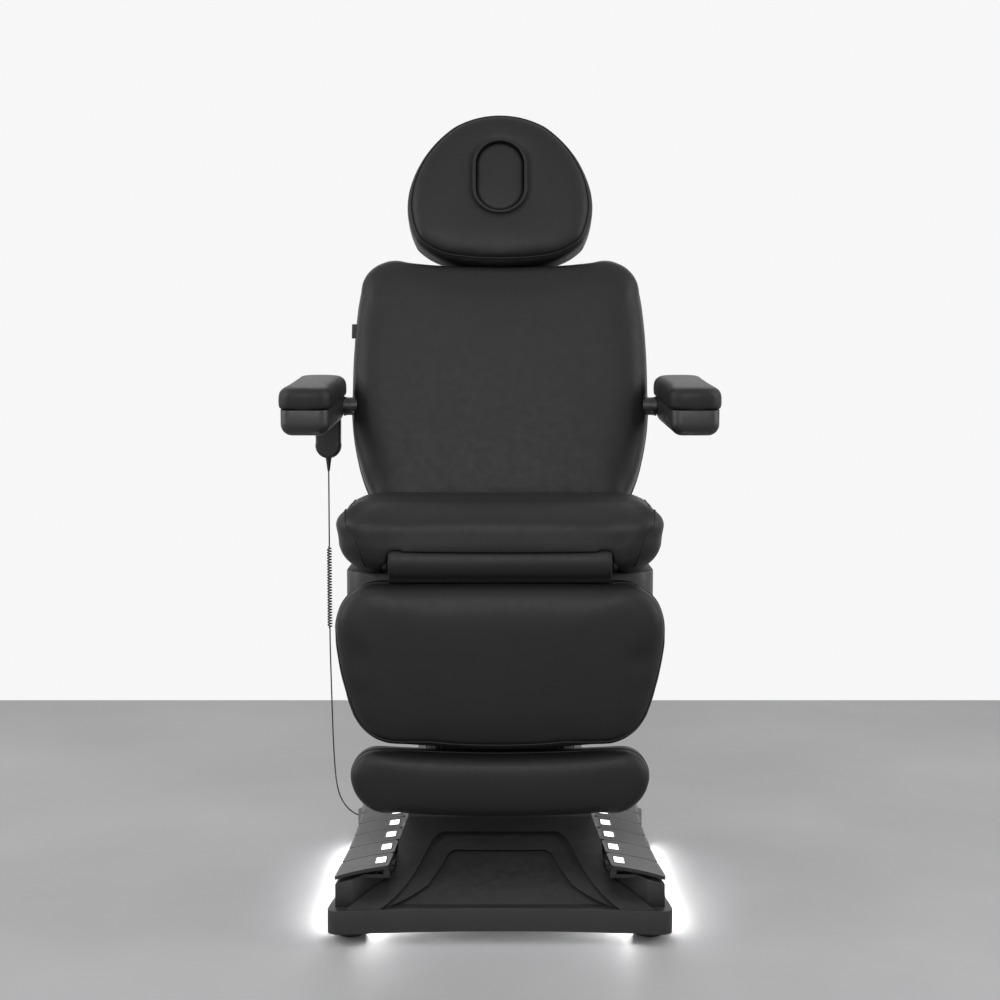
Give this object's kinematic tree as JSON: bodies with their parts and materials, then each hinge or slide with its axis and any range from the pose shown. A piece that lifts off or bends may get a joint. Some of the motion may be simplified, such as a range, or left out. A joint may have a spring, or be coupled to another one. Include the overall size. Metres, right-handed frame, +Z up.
{
  "type": "medical spa chair",
  "caption": "Powered treatment chair: reclining back, tilting seat, leg and foot rests, headrest with face plug, swing arms and pedal rows on a moulded floor base.",
  "frame": {"origin": "on the floor under the middle of the chair's bounding box", "axes": "+Z up, the sitter faces -Y, +X to the sitter's left"},
  "size_m": [0.8622, 0.8078, 1.6188],
  "materials": {
    "upholstery": "satin black vinyl",
    "arm_plastic": "satin moulded black",
    "base_plastic": "satin moulded charcoal",
    "pedal_grip": "fine non-slip grain, mid grey",
    "light": "lit white diffuser",
    "dark_steel": "black powder coat",
    "bright_steel": "ground",
    "board": "black stained plywood",
    "foot_rubber": "matte black",
    "keypad": "smooth dark grey membrane",
    "cord": "matte black cord"
  },
  "bodies": {
    "base": {"base_frame": "dark_steel", "base_cover": "base_plastic", "levelling_feet": "foot_rubber", "pedal_tray_left": "base_plastic", "pedal_tray_right": "base_plastic", "pedal_lights": "light", "pedal_pins": "bright_steel", "column_outer": "dark_steel", "lift_motor": "dark_steel", "mains_inlet": "base_plastic", "cord_gland": "base_plastic", "underglow_strips": "light", "cord_curl": "cord", "cord_lower": "cord"},
    "lift": {"column_inner": "bright_steel", "lift_head": "dark_steel", "lift_shroud": "base_plastic", "tilt_actuator": "dark_steel"},
    "seat": {"seat_frame": "dark_steel", "seat_cushion": "upholstery", "seat_cover": "arm_plastic", "back_actuator": "dark_steel", "leg_actuator": "dark_steel", "seat_hinge_pins": "bright_steel"},
    "back": {"back_frame": "dark_steel", "back_cushion": "upholstery", "back_shell": "arm_plastic", "arm_spindles": "bright_steel"},
    "arm_left": {"arm_shell_left": "arm_plastic", "arm_pad_left": "upholstery", "handset": "arm_plastic", "handset_keypad": "keypad", "cord_upper": "cord"},
    "arm_right": {"arm_shell_right": "arm_plastic", "arm_pad_right": "upholstery"},
    "head_carrier": {"headrest_bracket": "dark_steel"},
    "head": {"headrest_board": "board", "headrest_cushion": "upholstery"},
    "plug": {"face_plug": "upholstery"},
    "leg": {"leg_frame": "dark_steel", "leg_cushion": "upholstery", "leg_bolster": "upholstery"},
    "foot": {"foot_slide": "dark_steel", "foot_cushion": "upholstery"},
    "pedal_left_1": {"pedal_left_1": "pedal_grip"},
    "pedal_left_2": {"pedal_left_2": "pedal_grip"},
    "pedal_left_3": {"pedal_left_3": "pedal_grip"},
    "pedal_left_4": {"pedal_left_4": "pedal_grip"},
    "pedal_left_5": {"pedal_left_5": "pedal_grip"},
    "pedal_left_6": {"pedal_left_6": "pedal_grip"},
    "pedal_left_7": {"pedal_left_7": "pedal_grip"},
    "pedal_left_8": {"pedal_left_8": "pedal_grip"},
    "pedal_right_1": {"pedal_right_1": "pedal_grip"},
    "pedal_right_2": {"pedal_right_2": "pedal_grip"},
    "pedal_right_3": {"pedal_right_3": "pedal_grip"},
    "pedal_right_4": {"pedal_right_4": "pedal_grip"},
    "pedal_right_5": {"pedal_right_5": "pedal_grip"},
    "pedal_right_6": {"pedal_right_6": "pedal_grip"},
    "pedal_right_7": {"pedal_right_7": "pedal_grip"},
    "pedal_right_8": {"pedal_right_8": "pedal_grip"}
  },
  "joints": [
    {"name": "lift", "type": "slide", "parent": "base", "child": "lift", "axis": [0, 0, 1], "range_m": [-0.07, 0.13], "deforming": ["cord_curl"]},
    {"name": "seat_tilt", "type": "hinge", "parent": "lift", "child": "seat", "pos_m": [0, -0.03392, 0.625], "axis": [-1, 0, 0], "range_deg": [0, 12]},
    {"name": "back_recline", "type": "hinge", "parent": "seat", "child": "back", "pos_m": [0, 0.08408, 0.712], "axis": [-1, 0, 0], "range_deg": [-7, 72]},
    {"name": "arm_left_swing", "type": "hinge", "parent": "back", "child": "arm_left", "pos_m": [-0.38, 0.15808, 0.984], "axis": [-1, 0, 0], "range_deg": [-70, 75]},
    {"name": "arm_right_swing", "type": "hinge", "parent": "back", "child": "arm_right", "pos_m": [0.38, 0.15808, 0.984], "axis": [-1, 0, 0], "range_deg": [-70, 75]},
    {"name": "head_slide", "type": "slide", "parent": "back", "child": "head_carrier", "axis": [0, 0.2924, 0.9563], "range_m": [0, 0.09]},
    {"name": "head_tilt", "type": "hinge", "parent": "head_carrier", "child": "head", "pos_m": [0, 0.33013, 1.27332], "axis": [-1, 0, 0], "range_deg": [0, 35]},
    {"name": "plug_lift_out", "type": "slide", "parent": "head", "child": "plug", "axis": [0, -0.9563, 0.2924], "range_m": [0, 0.12]},
    {"name": "leg_raise", "type": "hinge", "parent": "seat", "child": "leg", "pos_m": [0, -0.28092, 0.702], "axis": [-1, 0, 0], "range_deg": [0, 75]},
    {"name": "foot_slide_out", "type": "slide", "parent": "leg", "child": "foot", "axis": [0, 0, -1], "range_m": [0, 0.07]},
    {"name": "pedal_left_1_press", "type": "hinge", "parent": "base", "child": "pedal_left_1", "pos_m": [-0.21195, -0.33317, 0.13057], "axis": [0, -1, 0], "range_deg": [0, 3], "stiffness_Nm_per_rad": 2, "springref_deg": -4.58},
    {"name": "pedal_right_1_press", "type": "hinge", "parent": "base", "child": "pedal_right_1", "pos_m": [0.21195, -0.33317, 0.13057], "axis": [0, 1, 0], "range_deg": [0, 3], "stiffness_Nm_per_rad": 2, "springref_deg": -4.58},
    {"name": "pedal_left_2_press", "type": "hinge", "parent": "base", "child": "pedal_left_2", "pos_m": [-0.20708, -0.24767, 0.1311], "axis": [0, -1, 0], "range_deg": [0, 3], "stiffness_Nm_per_rad": 2, "springref_deg": -4.58},
    {"name": "pedal_right_2_press", "type": "hinge", "parent": "base", "child": "pedal_right_2", "pos_m": [0.20708, -0.24767, 0.1311], "axis": [0, 1, 0], "range_deg": [0, 3], "stiffness_Nm_per_rad": 2, "springref_deg": -4.58},
    {"name": "pedal_left_3_press", "type": "hinge", "parent": "base", "child": "pedal_left_3", "pos_m": [-0.20383, -0.16217, 0.13142], "axis": [0, -1, 0], "range_deg": [0, 3], "stiffness_Nm_per_rad": 2, "springref_deg": -4.58},
    {"name": "pedal_right_3_press", "type": "hinge", "parent": "base", "child": "pedal_right_3", "pos_m": [0.20383, -0.16217, 0.13142], "axis": [0, 1, 0], "range_deg": [0, 3], "stiffness_Nm_per_rad": 2, "springref_deg": -4.58},
    {"name": "pedal_left_4_press", "type": "hinge", "parent": "base", "child": "pedal_left_4", "pos_m": [-0.2022, -0.07667, 0.13157], "axis": [0, -1, 0], "range_deg": [0, 3], "stiffness_Nm_per_rad": 2, "springref_deg": -4.58},
    {"name": "pedal_right_4_press", "type": "hinge", "parent": "base", "child": "pedal_right_4", "pos_m": [0.2022, -0.07667, 0.13157], "axis": [0, 1, 0], "range_deg": [0, 3], "stiffness_Nm_per_rad": 2, "springref_deg": -4.58},
    {"name": "pedal_left_5_press", "type": "hinge", "parent": "base", "child": "pedal_left_5", "pos_m": [-0.2022, 0.00883, 0.13157], "axis": [0, -1, 0], "range_deg": [0, 3], "stiffness_Nm_per_rad": 2, "springref_deg": -4.58},
    {"name": "pedal_right_5_press", "type": "hinge", "parent": "base", "child": "pedal_right_5", "pos_m": [0.2022, 0.00883, 0.13157], "axis": [0, 1, 0], "range_deg": [0, 3], "stiffness_Nm_per_rad": 2, "springref_deg": -4.58},
    {"name": "pedal_left_6_press", "type": "hinge", "parent": "base", "child": "pedal_left_6", "pos_m": [-0.20383, 0.09433, 0.13142], "axis": [0, -1, 0], "range_deg": [0, 3], "stiffness_Nm_per_rad": 2, "springref_deg": -4.58},
    {"name": "pedal_right_6_press", "type": "hinge", "parent": "base", "child": "pedal_right_6", "pos_m": [0.20383, 0.09433, 0.13142], "axis": [0, 1, 0], "range_deg": [0, 3], "stiffness_Nm_per_rad": 2, "springref_deg": -4.58},
    {"name": "pedal_left_7_press", "type": "hinge", "parent": "base", "child": "pedal_left_7", "pos_m": [-0.20708, 0.17983, 0.1311], "axis": [0, -1, 0], "range_deg": [0, 3], "stiffness_Nm_per_rad": 2, "springref_deg": -4.58},
    {"name": "pedal_right_7_press", "type": "hinge", "parent": "base", "child": "pedal_right_7", "pos_m": [0.20708, 0.17983, 0.1311], "axis": [0, 1, 0], "range_deg": [0, 3], "stiffness_Nm_per_rad": 2, "springref_deg": -4.58},
    {"name": "pedal_left_8_press", "type": "hinge", "parent": "base", "child": "pedal_left_8", "pos_m": [-0.21195, 0.26533, 0.13057], "axis": [0, -1, 0], "range_deg": [0, 3], "stiffness_Nm_per_rad": 2, "springref_deg": -4.58},
    {"name": "pedal_right_8_press", "type": "hinge", "parent": "base", "child": "pedal_right_8", "pos_m": [0.21195, 0.26533, 0.13057], "axis": [0, 1, 0], "range_deg": [0, 3], "stiffness_Nm_per_rad": 2, "springref_deg": -4.58}
  ]
}
